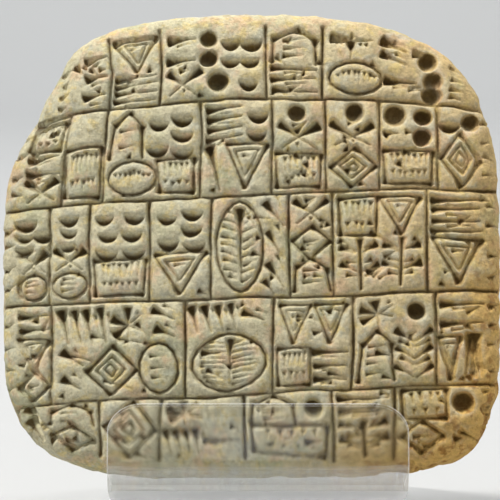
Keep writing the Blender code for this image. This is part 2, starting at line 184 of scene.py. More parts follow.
# The marks of one sign in a box one unit wide and high. None of them is a letter or a known sign
def signMarks(name, count, rng):
    if name == "bars":
        return [wedge((0.04, up), (0.96, up + rng.uniform(-0.04, 0.04))) for up in spread(count)]
    if name == "wedges":
        return [wedge((0.08 + rng.uniform(0, 0.2), up + 0.14), (0.9, up - 0.14)) for up in spread(count)]
    if name == "slash":
        return [wedge((0.2, 0.98), (0.8, 0.02), 1.15)]
    if name == "tee":
        return [wedge((0.04, 0.8), (0.96, 0.86)), wedge((0.5, 0.72), (0.46, 0.04))]
    if name == "cross":
        return [wedge((0.08, 0.95), (0.88, 0.05)), wedge((0.92, 0.93), (0.12, 0.08))]
    if name == "star":
        return [wedge((0.5 - 0.45 * math.sin(turn), 0.5 + 0.45 * math.cos(turn)),
                      (0.5 + 0.45 * math.sin(turn), 0.5 - 0.45 * math.cos(turn)))
                for turn in (0.1, 1.15, 2.2)]
    if name == "fan":
        return [wedge((0.38 + 0.24 * place, 0.97), (place, 0.03)) for place in spread(4)]
    if name == "hatch":
        return [wedge((place - 0.08, 0.96), (place + 0.08, 0.04)) for place in spread(count)]
    if name in ("lozenge", "nest"):
        return [line((0.5, 1.0), (0.98, 0.5), (0.5, 0.0), (0.02, 0.5), closed=True)]
    if name == "lens":
        return [line(*[(up, across) for across, up in oval(0.9, 1.0, 16, 1.0)], closed=True)]
    if name == "leaf":
        return [line(*oval(0.94, 1.0, 18, 1.2), closed=True), wedge((0.5, 0.9), (0.5, 0.1))]
    if name == "ring":
        return [line(*oval(0.96, 0.96, 14, 1.0), closed=True)]
    if name == "comb":
        return [line((0.03, 0.96), (0.97, 0.96), (0.94, 0.04), (0.06, 0.04), closed=True)]
    if name == "arch":
        return [line((0.05, 0.02), (0.1, 0.7), (0.5, 0.97), (0.9, 0.7), (0.95, 0.02))]
    if name == "tri":
        return [line((0.03, 0.94), (0.97, 0.94), (0.5, 0.03), closed=True)]
    if name == "herring":
        return [wedge((0.5 + side * 0.48, up + 0.12), (0.5, up - 0.12), 0.9)
                for up in spread(3) for side in (-1, 1)]
    if name == "sprig":
        return [line((0.5, 0.95), (0.5, 0.05))] + [
            wedge((0.5 + side * 0.44, up + 0.12), (0.5 + side * 0.06, up - 0.04), 0.9)
            for up in spread(2, 0.2, 0.9) for side in (-1, 1)]
    if name == "moons":
        return [press("moon", (0.5 + rng.uniform(-0.08, 0.08), up)) for up in spread(count)]
    if name == "pits":
        return [press("pit", (0.5 + rng.uniform(-0.05, 0.05), up)) for up in spread(count)]
    return []


# The finer strokes that fill a sign, which the solids leave out
def fineMarks(name, count, rng):
    marks = []
    if rng.random() < 0.6 and name not in ("gap", "moons", "pits"):
        place, up = rng.random(), rng.choice((0.06, 0.94))
        marks.append(fine((place, up), (place + 0.16, up - 0.1), size=1.5))
    if name == "bars":
        marks += [fine((0.3, up - 0.14), (0.75, up - 0.13)) for up in spread(count)]
    if name == "wedges":
        marks += [fine((0.55, up + 0.22), (0.9, up + 0.05)) for up in spread(count)]
    if name == "hatch":
        marks += [fine((place + 0.1, 0.85), (place + 0.22, 0.2)) for place in spread(count)]
    if name == "tee":
        marks += [fine((place, 0.72), (place + 0.03, 0.45)) for place in (0.15, 0.27, 0.68, 0.8)]
    if name == "cross":
        marks += [fine((0.38, 0.95), (0.62, 0.95), size=1.4), fine((0.5, 0.3), (0.5, 0.02))]
    if name == "star":
        marks += [fine((0.2, 0.2), (0.35, 0.33)), fine((0.8, 0.85), (0.66, 0.7))]
    if name == "fan":
        marks += [fine((0.15 + 0.2 * step, 0.3), (0.25 + 0.2 * step, 0.24)) for step in range(4)]
    if name == "lozenge":
        marks += [fine((0.35, 0.5), (0.65, 0.5), size=1.3), fine((0.42, 0.36), (0.58, 0.36))]
    if name == "tri":
        marks += [dict(fine((0.24, 0.8), (0.76, 0.8), (0.5, 0.3), size=1.25), closed=True),
                 fine((0.4, 0.68), (0.6, 0.68))]
    if name == "nest":
        for size in (0.58, 0.26):
            corners = [(0.5, 0.5 + 0.48 * size), (0.5 + 0.45 * size, 0.5), (0.5, 0.5 - 0.48 * size),
                       (0.5 - 0.45 * size, 0.5)]
            marks.append(dict(fine(*corners, size=1.25), closed=True))
    if name == "lens":
        marks += [fine((place, 0.72 - abs(place - 0.5) * 0.4), (place + 0.02, 0.28 + abs(place - 0.5) * 0.4))
                 for place in spread(8, 0.12, 0.9)]
    if name == "leaf":
        for step, up in enumerate(spread(9, 0.1, 0.9)):
            half = 0.36 * math.sqrt(max(0.0, 1 - (2 * up - 1) ** 2))
            marks.append(fine((0.5 - half, up + 0.03), (0.46, up - 0.03)))
            marks.append(fine((0.54, up - 0.03), (0.5 + half, up + 0.03)))
    if name == "ring":
        marks += [fine((0.3, up), (0.7, up)) for up in spread(3, 0.2, 0.8)]
    if name == "comb":
        marks += [fine((place, 0.86), (place + 0.015, 0.5), size=1.2)
                  for place in spread(count + 2, 0.14, 0.88)]
        marks += [fine((place, 0.36), (place + 0.01, 0.14)) for place in spread(count + 1, 0.16, 0.86)]
    if name == "arch":
        marks += [fine((0.28, up), (0.72, up + 0.02)) for up in spread(count, 0.1, 0.75)]
    if name == "herring":
        marks += [fine((0.5 + side * 0.4, up + 0.1), (0.5, up - 0.08), size=1.3)
                 for up in spread(2, 0.17, 0.83) for side in (-1, 1)]
    if name == "sprig":
        marks += [fine((0.5 + side * 0.3, up + 0.08), (0.5 + side * 0.05, up), size=1.3)
                 for up in spread(3, 0.1, 0.85) for side in (-1, 1)]
    return marks


def splitWord(word):
    digits = word.lstrip("abcdefghijklmnopqrstuvwxyz")
    return word[:len(word) - len(digits)], int(digits or 1)


def signSize(word):
    name, count = splitWord(word)
    height, width = tablet["signSizes"][name]
    return (height * count if name in ("moons", "pits") else height), width


def caseMarks(row, left, right, text, rng, fineRng):
    lines = [part.split() for part in text.split("/")]
    heights = [max(signSize(word)[0] for word in words) for words in lines]
    margin = tablet["caseMargin"]
    marks = []
    top = 1.0
    for words, height in zip(lines, heights):
        bottom = top - height / sum(heights)
        widths = [signSize(word)[1] for word in words]
        start = 0.0
        for word, width in zip(words, widths):
            name, count = splitWord(word)
            end = start + width / sum(widths)
            for mark in signMarks(name, count, rng) + fineMarks(name, count, fineRng):
                placed = []
                for across, up in mark["points"]:
                    share = margin + (1 - 2 * margin) * (start + (end - start) * across)
                    rise = margin + (1 - 2 * margin) * (bottom + (top - bottom) * up)
                    placed.append(inRow(row, left + (right - left) * share, rise))
                marks.append(dict(mark, points=placed))
            start = end
        top = bottom
    plain = "moons" in text or "gap /" in text
    for _ in range(0 if plain else tablet["strays"]):
        place, share = left + (right - left) * fineRng.uniform(0.1, 0.75), fineRng.uniform(0.12, 0.85)
        along, upwards = (right - left) * fineRng.uniform(0.06, 0.24), fineRng.uniform(-0.14, 0.12)
        first, (_, endHeight) = inRow(row, place, share), inRow(row, place, share + upwards)
        marks.append(fine(first, (place + along, endHeight), size=fineRng.uniform(1.0, 2.0)))
    return marks


# The short strokes that run from the rows over the left and right rim
def rimMarks():
    rng = random.Random(tablet["markSeed"] + 3)
    slip = tablet["rimSlip"]
    marks = []
    for row, edge in enumerate(tablet["rowEdges"]):
        for side in (-1, 1):
            for share in spread(tablet["rimStrokes"], 0.06, 0.94):
                places = sorted((side * (edge - tablet["rimFrom"]), side * (edge + tablet["rimTo"])))
                ends = [inRow(row, place, share + rng.uniform(-slip, slip)) for place in places]
                marks.append(wedge(*ends, rng.uniform(*tablet["rimSizes"])))
    return marks


def allMarks():
    rng = random.Random(tablet["markSeed"])
    fineRng = random.Random(tablet["markSeed"] + 1)
    marks = []
    rows = zip(tablet["rowEdges"], tablet["caseLines"], tablet["cases"])
    for row, (edge, places, texts) in enumerate(rows):
        bounds = [-edge, *places, edge]
        for left, right, text in zip(bounds, bounds[1:], texts):
            marks += caseMarks(row, left, right, text, rng, fineRng)
        for place in places:
            low, high = ruleHeight(row + 1, place), ruleHeight(row, place)
            divider = line((place, high), (place, (low + high) / 2), (place, low))
            marks.append(dict(divider, kind="divider"))
    return marks + rimMarks()


# The plainer back: two ruled lines and one short row of strokes between them, as shares of the half sizes
reverse = {
    "rules": (0.34, -0.06),
    "reach": 0.86,
    "strokes": 9,
    "strokeReach": 0.7,
    "pitEvery": 3,
    "pitSize": 0.75,
}


def reverseMarks():
    rng = random.Random(tablet["markSeed"] + 2)
    high, low = reverse["rules"]
    far, strokesTo = reverse["reach"], reverse["strokeReach"]
    marks = [dict(line((-far, up), (0, up + 0.02), (far, up - 0.01)), kind="divider") for up in (high, low)]
    for step, place in enumerate(spread(reverse["strokes"], -strokesTo, strokesTo)):
        if step % reverse["pitEvery"] == 1:
            middle = (high + low) / 2 + rng.uniform(-0.06, 0.06)
            marks.append(press("pit", (place, middle), reverse["pitSize"]))
        else:
            marks.append(wedge((place - 0.04, high - 0.08), (place + 0.03, low + rng.uniform(0.06, 0.16))))
    return marks


# The carving as a grid of depths in millimetres over the face as it lies on its back
class Raster:
    def __init__(self):
        self.step = detail["rasterStep"]
        self.halfX = tablet["width"] * 500 + 1
        self.halfY = tablet["height"] * 500 + 1
        self.shape = (int(2 * self.halfY / self.step) + 1, int(2 * self.halfX / self.step) + 1)

    def blank(self):
        return np.zeros(self.shape)

    # The part of the grid within a margin of some points, with the places of its cells
    def window(self, points, margin):
        xs = [point[0] for point in points]
        ys = [point[1] for point in points]
        left = max(0, int((min(xs) - margin + self.halfX) / self.step))
        right = min(self.shape[1], int((max(xs) + margin + self.halfX) / self.step) + 2)
        low = max(0, int((min(ys) - margin + self.halfY) / self.step))
        high = min(self.shape[0], int((max(ys) + margin + self.halfY) / self.step) + 2)
        x = np.arange(left, right) * self.step - self.halfX
        y = np.arange(low, high) * self.step - self.halfY
        return (slice(low, high), slice(left, right)), x[None, :], y[:, None]

    def deepen(self, field, part, depth):
        np.maximum(field[part], depth, out=field[part])

    # Three box blurs in each direction come close to a bell curve
    def blurred(self, field, width):
        cells = max(1, int(round(width / self.step)))
        for axis in (0, 1):
            for _ in range(3):
                field = np.moveaxis(field, axis, 0)
                before, after = np.repeat(field[:1], cells + 1, 0), np.repeat(field[-1:], cells, 0)
                padded = np.concatenate([before, field, after])
                total = np.cumsum(padded, axis=0)
                field = (total[2 * cells + 1:] - total[:-2 * cells - 1]) / (2 * cells + 1)
                field = np.moveaxis(field, 0, axis)
        return field

    # Reads the grid between its cells
    def sample(self, field, x, y):
        column = np.clip((x + self.halfX) / self.step, 0, self.shape[1] - 1.001)
        row = np.clip((y + self.halfY) / self.step, 0, self.shape[0] - 1.001)
        left, low = column.astype(int), row.astype(int)
        across, up = column - left, row - low
        return ((field[low, left] * (1 - across) + field[low, left + 1] * across) * (1 - up)
                + (field[low + 1, left] * (1 - across) + field[low + 1, left + 1] * across) * up)


def millimetres(place):
    return (float(dented(place[0], place[1])) * tablet["width"] * 500, place[1] * tablet["height"] * 500)


# How the stylus bites, in millimetres
stylus = {
    "seed": 7,
    "slip": 0.2,
    "unevenness": 0.12,
    "wedgeHalf": 0.95,
    "wedgeSteep": 1.55,
    "wedgeTail": 0.30,
    "wedgeTaper": 0.45,
    "wedgeFlare": 0.45,
    "lineHalf": 0.55,
    "lineSteep": 1.7,
    "lineWedge": 0.8,
    "ruleHalf": 0.52,
    "fineHalf": 0.34,
    "fineWedge": 1.35,
    "radius": 1.85,
    "pitDepth": 1.6,
    "pitWall": 0.2,
    "pitBowl": 0.9,
    "pitLean": 0.35,
    "moonTilt": math.radians(37),
    "moonTurn": 0.12,
    "moonDeepen": 1.35,
    "edgeSoftness": 0.06,
    "shoulder": 0.95,
    "shoulderWidth": 0.62,
    "burrFrom": 0.8,
    "burrWidth": 0.22,
    "burr": 0.55,
    "pillow": 1.8,
    "pillowWidth": 1.1,
    "hollows": ((0.45, 0.9), (2.2, 0.18)),  # width looked over and share, for where painted shade and dirt darken the hollows and the ridges get a pale worn, painted highlight
}


# Distance from the cells of a window to one straight stroke
def distanceTo(x, y, start, end):
    alongX, alongY = end[0] - start[0], end[1] - start[1]
    square = max(alongX ** 2 + alongY ** 2, 1e-9)
    share = np.clip(((x - start[0]) * alongX + (y - start[1]) * alongY) / square, 0, 1)
    return np.hypot(x - start[0] - share * alongX, y - start[1] - share * alongY)


def carveLine(raster, field, points, half, steep, closed=False):
    ends = list(zip(points, points[1:] + (points[:1] if closed else [])))
    for start, end in ends:
        part, x, y = raster.window([start, end], half)
        raster.deepen(field, part, np.clip(half - distanceTo(x, y, start, end), 0, None) * steep)


# A wedge: a flared head that narrows quickly into a long tail
def carveWedge(raster, field, start, end, half, steep):
    length = math.hypot(end[0] - start[0], end[1] - start[1])
    part, x, y = raster.window([start, end], half * 1.4)
    alongX, alongY = (end[0] - start[0]) / length, (end[1] - start[1]) / length
    along = (x - start[0]) * alongX + (y - start[1]) * alongY
    aside = np.abs((x - start[0]) * -alongY + (y - start[1]) * alongX)
    head = min(length * 0.55, half * 3.4)
    taper = stylus["wedgeTaper"] * np.clip(1 - along / length, 0, 1)
    flare = stylus["wedgeFlare"] * np.clip(1 - along / head, 0, 1)
    width = half * (stylus["wedgeTail"] + taper + flare) * (along < length)
    behind = np.clip(1 + along / (half * 0.3), 0, 1)
    raster.deepen(field, part, np.clip(width - aside, 0, None) * steep * behind)


# The round end of a stylus leaning back: a floor that slopes down to a steep curved wall
def carveMoon(raster, field, centre, radius, tilt, turn):
    part, x, y = raster.window([centre], radius * 1.5)
    across = (x - centre[0]) * math.cos(turn) + (y - centre[1]) * math.sin(turn)
    up = -(x - centre[0]) * math.sin(turn) + (y - centre[1]) * math.cos(turn)
    floor = up * math.tan(tilt)
    chord = np.sqrt(np.clip(radius ** 2 - across ** 2, 0, None))
    wall = (-chord - up * math.cos(tilt)) / math.sin(tilt)
    depth = np.where(np.abs(across) < radius, np.clip(-np.maximum(floor, wall), 0, None), 0)
    raster.deepen(field, part, depth * stylus["moonDeepen"])


def carvePit(raster, field, centre, radius, depth):
    part, x, y = raster.window([centre], radius * 1.2)
    distance = np.hypot(x - centre[0], y - centre[1])
    wall = np.clip((radius * 1.06 - distance) / (radius * stylus["pitWall"]), 0, 1)
    bowl = np.sqrt(1 - np.clip(stylus["pitBowl"] * distance / radius, 0, 1) ** 2)
    lean = 1 + stylus["pitLean"] * (y - centre[1]) / radius
    raster.deepen(field, part, depth * wall * bowl * lean)


# Everything pressed or drawn into one side, softened by handling and time
def carveSide(raster, marks, rules):
    rng = random.Random(stylus["seed"])
    slip, turn, uneven = stylus["slip"], stylus["moonTurn"], stylus["unevenness"]
    sharp, ruled = raster.blank(), raster.blank()
    for mark in marks:
        points = [millimetres(place) for place in mark["points"]]
        kind = mark["kind"]
        size = mark["size"] * rng.uniform(1 - uneven, 1 + uneven)
        angular = len(points) < 6  # ovals have more points, and stay smooth
        if kind in ("wedge", "fine", "line") and angular:
            points = [(x + rng.uniform(-slip, slip), y + rng.uniform(-slip, slip)) for x, y in points]
        if kind == "wedge":
            carveWedge(raster, sharp, points[0], points[1], stylus["wedgeHalf"] * size, stylus["wedgeSteep"])
        elif kind == "moon":
            carveMoon(raster, sharp, points[0], stylus["radius"] * size, stylus["moonTilt"],
                      rng.uniform(-turn, turn))
        elif kind == "pit":
            carvePit(raster, sharp, points[0], stylus["radius"] * size, stylus["pitDepth"])
        elif kind == "divider":
            carveLine(raster, ruled, points, stylus["lineHalf"], stylus["lineSteep"])
        elif kind == "fine":
            half = stylus["fineHalf"] * size
            if mark["closed"] or len(points) > 2:
                carveLine(raster, sharp, points, half, stylus["lineSteep"], mark["closed"])
            else:
                carveWedge(raster, sharp, points[0], points[1], half * stylus["fineWedge"],
                           stylus["wedgeSteep"])
        else:
            carveLine(raster, sharp, points, stylus["lineHalf"], stylus["lineSteep"], mark["closed"])
            if angular:
                half = stylus["wedgeHalf"] * stylus["lineWedge"]
                for start, end in zip(points, points[1:] + points[:1] * mark["closed"]):
                    carveWedge(raster, sharp, start, end, half, stylus["wedgeSteep"])
    steps = detail["ruleSteps"]
    for number in rules:
        places = [tablet["ruleEdge"] * (2 * step / steps - 1) for step in range(steps + 1)]
        points = [millimetres((place, ruleHeight(number, place))) for place in places]
        carveLine(raster, ruled, points, stylus["ruleHalf"], stylus["lineSteep"])
    cut = raster.blurred(np.maximum(sharp, ruled), stylus["edgeSoftness"])
    soft = raster.blurred(np.maximum(sharp, ruled), stylus["shoulderWidth"])
    pillow = raster.blurred(ruled, stylus["pillowWidth"])
    burr = raster.blurred(np.minimum(sharp, stylus["burrFrom"]), stylus["burrWidth"]) * (sharp <= 0)
    burr = raster.blurred(burr, stylus["edgeSoftness"])
    depth = cut + soft * stylus["shoulder"] + pillow * stylus["pillow"] - burr * stylus["burr"]
    hollow = sum(share * (depth - raster.blurred(depth, width)) for width, share in stylus["hollows"])
    return depth, hollow


# The section from the middle of a half out to the rim, at even steps along the surface
def section(front):
    power = tablet["faceSquareness"] if front else tablet["backSquareness"]
    rise = tablet["faceRise"] if front else -tablet["backRise"]
    turn = np.linspace(0, math.pi / 2, detail["sectionSteps"])
    outward = np.sin(turn) ** (2 / power)
    out = rise * np.cos(turn) ** (2 / power)
    steps = np.hypot(np.diff(outward) * tablet["width"] / 2, np.diff(out))
    travelled = np.concatenate([[0], np.cumsum(steps)])
    return travelled / travelled[-1], outward, out


# A square grid bent to the tablet's front or back half
def halfShell(cells, front, limit=1.0):
    share = np.linspace(-1, 1, cells + 1)
    gridX, gridY = np.meshgrid(share, share)
    ring = np.maximum(np.abs(gridX), np.abs(gridY))
    travelled, outward, out = section(front)
    eased = np.interp(ring * limit, travelled, outward)
    scale = eased / np.maximum(reach(gridX, gridY), 1e-9)
    across, up = gridX * scale, gridY * scale
    points = [dented(across, up) * tablet["width"] / 2, up * tablet["height"] / 2,
              np.interp(ring * limit, travelled, out)]
    return np.stack(points, -1)


# The outward normals of a bent grid
def gridNormals(points, flip):
    acrossX = np.gradient(points, axis=1)
    upwards = np.gradient(points, axis=0)
    normals = np.cross(acrossX, upwards) * (-1 if flip else 1)
    return normals / np.maximum(np.linalg.norm(normals, axis=-1, keepdims=True), 1e-12)


# The clay's own unevenness, in metres. A layer of lumps is its size, its height or strength, and its seed
surface = {
    "lumps": ((0.022, 0.00026, 1), (0.008, 0.00020, 2), (0.0028, 0.00015, 3), (0.0011, 0.00011, 4),
              (0.0005, 0.00004, 5)),
    "wear": ((0.006, 0.22, 11), (0.002, 0.15, 12)),
    "chips": ((0.007, 1.0, 31), (0.002, 0.5, 32)),
    "chipsAbove": 0.45,
    "chipDepth": 0.0011,
    "chipReach": 0.007,
    "cornerStart": 0.053,
    "cornerReach": 0.013,
    "cornerLumps": ((0.004, 0.0004, 43),),
    "cornerPits": ((0.0022, 1.0, 41), (0.0010, 0.6, 42)),
    "cornerPitsAbove": 0.1,
    "cornerPitDepth": 0.0009,
    "wander": ((0.009, 0.32, 21, 23), (0.0022, 0.09, 22, 24)),  # size, millimetres astray and two seeds
}


# Soft lumps of one size in metres, from -1 to 1
def lumps(points, size, seed):
    side = 32
    lattice = np.random.default_rng(seed).uniform(-1, 1, (side, side, side))
    place = points / size + 500.0
    corner = np.floor(place).astype(int)
    part = place - corner
    part = part * part * (3 - 2 * part)
    total = np.zeros(points.shape[:-1])
    for stepX in (0, 1):
        for stepY in (0, 1):
            for stepZ in (0, 1):
                weight = (np.where(stepX, part[..., 0], 1 - part[..., 0])
                          * np.where(stepY, part[..., 1], 1 - part[..., 1])
                          * np.where(stepZ, part[..., 2], 1 - part[..., 2]))
                value = lattice[(corner[..., 0] + stepX) % side, (corner[..., 1] + stepY) % side,
                                (corner[..., 2] + stepZ) % side]
                total += weight * value
    return total


# Several layers of lumps on top of each other
def layered(points, layers, total=0.0):
    for size, height, seed in layers:
        total = total + lumps(points, size, seed) * height
    return total


# The indices round the edge of a square grid, in order
def rimOrder(cells, offset):
    index = np.arange((cells + 1) ** 2).reshape(cells + 1, cells + 1) + offset
    return np.concatenate([index[0, :-1], index[:-1, -1], index[-1, :0:-1], index[:0:-1, 0]])


def gridFaces(cells, offset, flip):
    index = np.arange((cells + 1) ** 2).reshape(cells + 1, cells + 1) + offset
    corners = [index[:-1, :-1], index[:-1, 1:], index[1:, 1:], index[1:, :-1]]
    if flip:
        corners = corners[::-1]
    return np.stack([corner.ravel() for corner in corners], -1)


# Faces that join a fine rim to a coarse one with a whole number of fine steps per coarse step
def stitchedFaces(fine, coarse):
    ratio = len(fine) // len(coarse)
    faces = []
    for step in range(len(coarse)):
        here, there = coarse[step], coarse[(step + 1) % len(coarse)]
        edge = [fine[(step * ratio + part) % len(fine)] for part in range(ratio + 1)]
        half = ratio // 2
        faces += [(edge[part], edge[part + 1], here) for part in range(half)]
        faces.append((edge[half], there, here))
        faces += [(edge[part], edge[part + 1], there) for part in range(half, ratio)]
    return faces


def newObject(name, mesh):
    made = bpy.data.objects.new(name, mesh)
    bpy.context.scene.collection.objects.link(made)
    return made


# Places on the face in millimetres, led astray a little so that no line is quite straight
def wandered(points):
    flat = points * (1, 1, 0)
    x, y = points[..., 0] * 1000, points[..., 1] * 1000
    for size, astray, seedX, seedY in surface["wander"]:
        x = x + astray * lumps(flat, size, seedX)
        y = y + astray * lumps(flat, size, seedY)
    return x, y


# The tablet's whole surface as one fine closed mesh, with the carving pressed into its face
def makeTablet(matrix):
    raster = Raster()
    depth, hollow = carveSide(raster, allMarks(), range(1, len(tablet["rules"]) + 1))
    backDepth, backHollow = carveSide(raster, reverseMarks(), ())
    print("carving worked out on", raster.shape)
    front = halfShell(detail["frontCells"], True)
    back = halfShell(detail["backCells"], False, 1 - 1 / detail["backCells"])
    shells = []
    for points, flip in ((front, False), (back, True)):
        normals = gridNormals(points, flip)
        rough = layered(points, surface["lumps"])
        x, y = wandered(points)
        wear = layered(points, surface["wear"], 1.0)
        rough = rough - raster.sample(backDepth if flip else depth, x, y) * wear * 0.001
        nearRim = np.clip(1 - np.abs(points[..., 2]) / surface["chipReach"], 0, 1)
        chips = np.clip(layered(points, surface["chips"]) - surface["chipsAbove"], 0, 1)
        rough = rough - chips * nearRim * surface["chipDepth"]
        # The worn and pitted lower right corner
        past = points[..., 0] - points[..., 1] - surface["cornerStart"]
        corner = np.clip(past / surface["cornerReach"], 0, 1)
        pits = np.clip(layered(points, surface["cornerPits"]) - surface["cornerPitsAbove"], 0, 1)
        pitted = pits * surface["cornerPitDepth"] + layered(points, surface["cornerLumps"])
        rough = rough - corner * pitted
        shells.append((points + normals * rough[..., None]).reshape(-1, 3))
    offset = len(shells[0])
    frontCells, backCells = detail["frontCells"], detail["backCells"]
    faces = gridFaces(frontCells, 0, False).tolist() + gridFaces(backCells, offset, True).tolist()
    faces += stitchedFaces(rimOrder(frontCells, 0)[::-1].tolist(), rimOrder(backCells, offset)[::-1].tolist())
    mesh = bpy.data.meshes.new("tablet_fine")
    mesh.from_pydata(np.concatenate(shells).tolist(), [], faces)
    made = newObject("tablet_clay", mesh)
    thin = made.modifiers.new("thin", "DECIMATE")
    thin.ratio = detail["triangles"] / (2 * len(faces))
    made.data = bpy.data.meshes.new_from_object(made.evaluated_get(bpy.context.evaluated_depsgraph_get()))
    made.modifiers.clear()
    places = np.zeros(len(made.data.vertices) * 3)
    made.data.vertices.foreach_get("co", places)
    places = places.reshape(-1, 3)
    x, y = wandered(places)
    # The recess drives the painted shade and dirt in the hollows, and the pale painted highlight on the
    # ridges
    recess = np.where(places[:, 2] > 0, raster.sample(hollow, x, y), raster.sample(backHollow, x, y))
    made.data.attributes.new("recess", "FLOAT", "POINT").data.foreach_set("value", recess)
    made.data.shade_smooth()
    made.data.transform(matrix)
    print("tablet:", len(made.data.polygons), "faces")
    return made


# The cradle, as in the solids, in metres
stand = {
    "sheet": 0.003,
    "width": 0.0505,
    "offset": 0.001,
    "bendInside": 0.002,
    "lipHeight": 0.0112,
    "shoulderWidth": 0.0058,
    "shoulderHeight": 0.0050,
    "restLength": 0.048,
    "footLength": 0.062,
    "footAheadOfLip": 0.0025,
    "footGap": 0.0008,
    "seatGap": 0.0003,
    "bendSteps": 16,
    "shoulderSteps": 12,
    "polish": 0.00070,
    "polishSteps": 2,
    "polishAngle": math.radians(50),
    "creaseAngle": math.radians(35),
    "glowingBendBelow": 0.0064,
}


# Where the tablet's middle is in the cradle, worked out as the solids do
def tabletPlace():
    lip = tablet["faceRise"] + stand["seatGap"] + stand["sheet"] / 2
    rest = -(tablet["backRise"] + stand["seatGap"] + stand["sheet"] / 2)
    ledge = -(tablet["height"] / 2 + stand["seatGap"] + stand["sheet"] / 2)
    bend = stand["bendInside"] + stand["sheet"] / 2
    outer = stand["bendInside"] + stand["sheet"]
    turn = Matrix.Rotation(math.pi / 2 - tablet["lean"], 4, "X")
    lowest = (turn @ Vector((0, ledge + bend, rest + bend))).z - outer
    front = (turn @ Vector((0, ledge + bend, lip - bend))).y - outer
    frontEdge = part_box("stand")[0].y
    foot = stand["footLength"] / 2
    shift = Vector((0, stand["footAheadOfLip"] - foot - front, stand["sheet"] + stand["footGap"] - lowest))
    seat = [turn @ Vector((0, up, out)) + shift for out, up in
            ((lip, ledge + stand["sheet"] / 2 + stand["lipHeight"]), (lip, ledge), (rest, ledge),
             (rest, ledge + stand["restLength"]))]
    heel = Vector((0, foot - outer, outer))
    slope = math.atan2(heel.y - seat[3].y, seat[3].z - heel.z)
    beyond = bend / math.cos(slope) + (heel.z - stand["sheet"] / 2) * math.tan(slope)
    flat = stand["sheet"] / 2
    corners = seat + [Vector((0, heel.y + beyond, flat)), Vector((0, -foot, flat))]
    middle = Vector((0, frontEdge + foot, 0))
    return Matrix.Translation(shift + middle) @ turn, [corner + middle for corner in corners], bend


# Points along a bent line whose corners are all rounded to one radius
def roundedPath(corners, radius, steps):
    points = [corners[0]]
    for before, corner, after in zip(corners, corners[1:], corners[2:]):
        back, ahead = (before - corner).normalized(), (after - corner).normalized()
        halfAngle = back.angle(ahead) / 2
        centre = corner + (back + ahead).normalized() * (radius / math.sin(halfAngle))
        first = corner + back * (radius / math.tan(halfAngle)) - centre
        last = corner + ahead * (radius / math.tan(halfAngle)) - centre
        sweep = first.angle(last)
        for step in range(steps + 1):
            share = step / steps
            points.append(centre + (first * math.sin((1 - share) * sweep)
                                    + last * math.sin(share * sweep)) / math.sin(sweep))
    return points + [corners[-1]]


# Stations along the sheet with the half width there, drawn in at both ends to round the corners
def shouldered(points):
    ends = []
    for end, inner in ((points[0], points[1]), (points[-1], points[-2])):
        inward = (inner - end).normalized()
        stations = []
        for step in range(stand["shoulderSteps"] + 1):
            turn = math.pi / 2 * step / stand["shoulderSteps"]
            stations.append((end + inward * stand["shoulderHeight"] * (1 - math.cos(turn)),
                             stand["width"] / 2 - stand["shoulderWidth"] * (1 - math.sin(turn))))
        ends.append(stations)
    return ends[0] + [(point, stand["width"] / 2) for point in points[1:-1]] + ends[1][::-1]


# One clear sheet bent along the path. Its eased edges and the bend under the tablet take whitish materials
# with a painted glow, for the light they catch
def makeStand(path, sheetMaterial, edgeGlowMaterial, bendGlowMaterial):
    stations = shouldered(path)
    bm = bmesh.new()
    bmesh.ops.create_grid(bm, x_segments=1, y_segments=len(stations) - 1, size=1.0)
    for vert in bm.verts:
        point, halfWidth = stations[round((vert.co.y + 1) / 2 * (len(stations) - 1))]
        vert.co = (stand["offset"] + halfWidth * math.copysign(1, vert.co.x), point.y, point.z)
    mesh = bpy.data.meshes.new("stand_clear")
    bm.to_mesh(mesh)
    bm.free()
    mesh.materials.append(sheetMaterial)
    mesh.materials.append(edgeGlowMaterial)
    mesh.materials.append(bendGlowMaterial)
    made = newObject("stand_clear", mesh)
    thick = made.modifiers.new("sheet", "SOLIDIFY")
    thick.thickness = stand["sheet"]
    thick.offset = 0.0
    thick.use_even_offset = True
    edge = made.modifiers.new("polish", "BEVEL")
    edge.width = stand["polish"]
    edge.segments = stand["polishSteps"]
    edge.limit_method = "ANGLE"
    edge.angle_limit = stand["polishAngle"]
    # The eased edges take the whitish edge material, whose glow is painted light
    edge.material = 1
    made.data = bpy.data.meshes.new_from_object(made.evaluated_get(bpy.context.evaluated_depsgraph_get()))
    made.modifiers.clear()
    # The front bend under the tablet and the front of the foot take the bend material, whose glow is painted
    # light
    for face in made.data.polygons:
        frontBend = stand["sheet"] < face.center.z < stand["glowingBendBelow"] and face.center.y < 0
        footFront = face.normal.y < -0.99 and face.center.z < stand["sheet"]
        if frontBend or footFront:
            face.material_index = 2
    made.data.shade_smooth()
    made.data.set_sharp_from_angle(angle=stand["creaseAngle"])
    print("stand:", len(made.data.polygons), "faces")
    return made


# Colours as seen on a screen, 0 to 255, turned into the light values that a shader takes
def screen(red, green, blue):
    return [((value / 255) / 12.92 if value < 10.3 else ((value / 255 + 0.055) / 1.055) ** 2.4)
            for value in (red, green, blue)] + [1.0]


